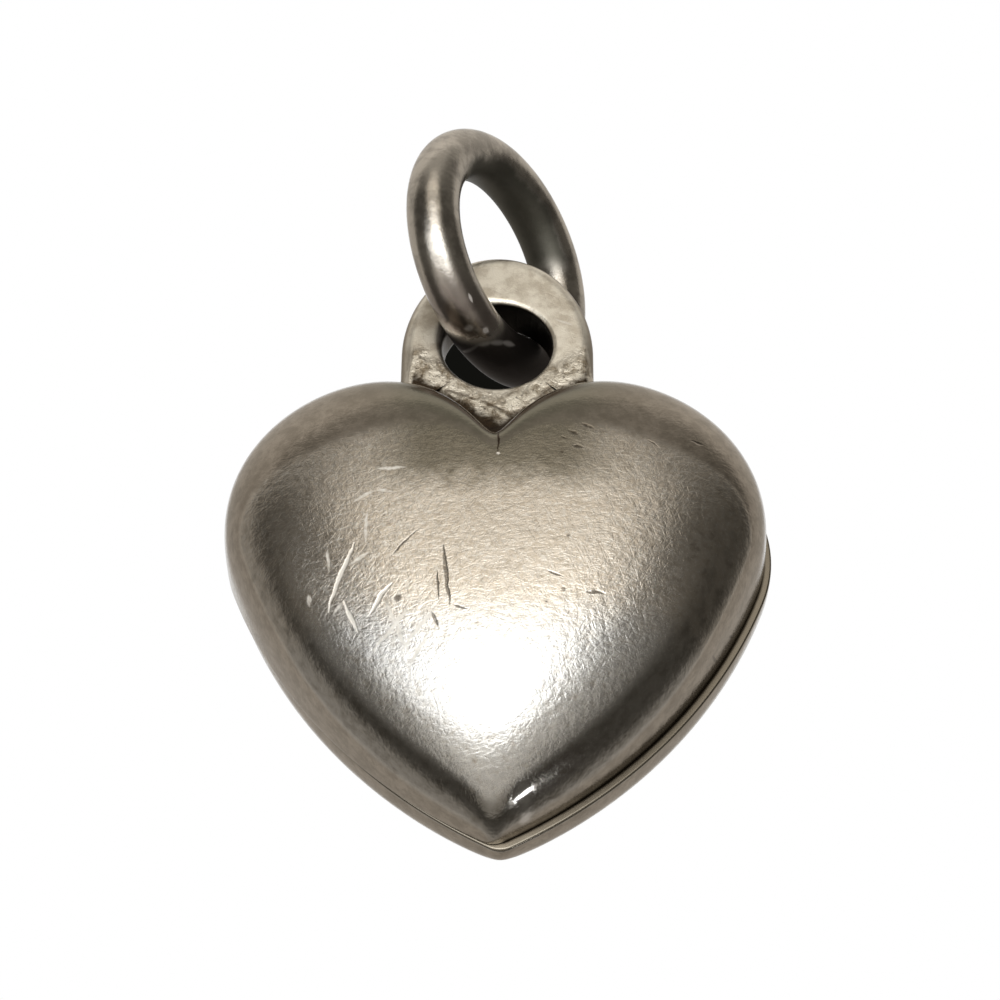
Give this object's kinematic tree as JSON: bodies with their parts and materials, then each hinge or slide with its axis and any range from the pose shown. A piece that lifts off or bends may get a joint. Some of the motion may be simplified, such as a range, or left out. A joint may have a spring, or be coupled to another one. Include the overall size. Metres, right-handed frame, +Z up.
{
  "type": "puffy heart pendant",
  "caption": "Hollow puffed heart of domed metal shells with a thick hanging loop in its cleft and a loose round jump ring.",
  "frame": {"origin": "centre of the jump ring, where the chain or clasp passes through", "axes": "+Z up as the pendant hangs, -Y towards the front of the heart, +X to the right seen from the front"},
  "size_m": [0.0142, 0.0071, 0.0228],
  "materials": {
    "heart_silver": "worn sterling silver, finely scratched, with light brown tarnish",
    "loop_silver": "sterling silver, dull with wear, lightly scratched",
    "solder": "rough silver solder with dark tarnish in its hollows",
    "ring_silver": "smooth polished silver wire, slightly tarnished"
  },
  "bodies": {
    "ring": {"jump_ring": "ring_silver"},
    "heart": {"front_shell": "heart_silver", "back_shell": "heart_silver", "hanging_loop": "loop_silver", "cleft_solder": "solder"}
  },
  "joints": [
    {"name": "heart_swing", "type": "hinge", "parent": "ring", "child": "heart", "pos_m": [0, 0, 0], "axis": [0.8245, -0.5624, -0.0628], "continuous": true}
  ]
}
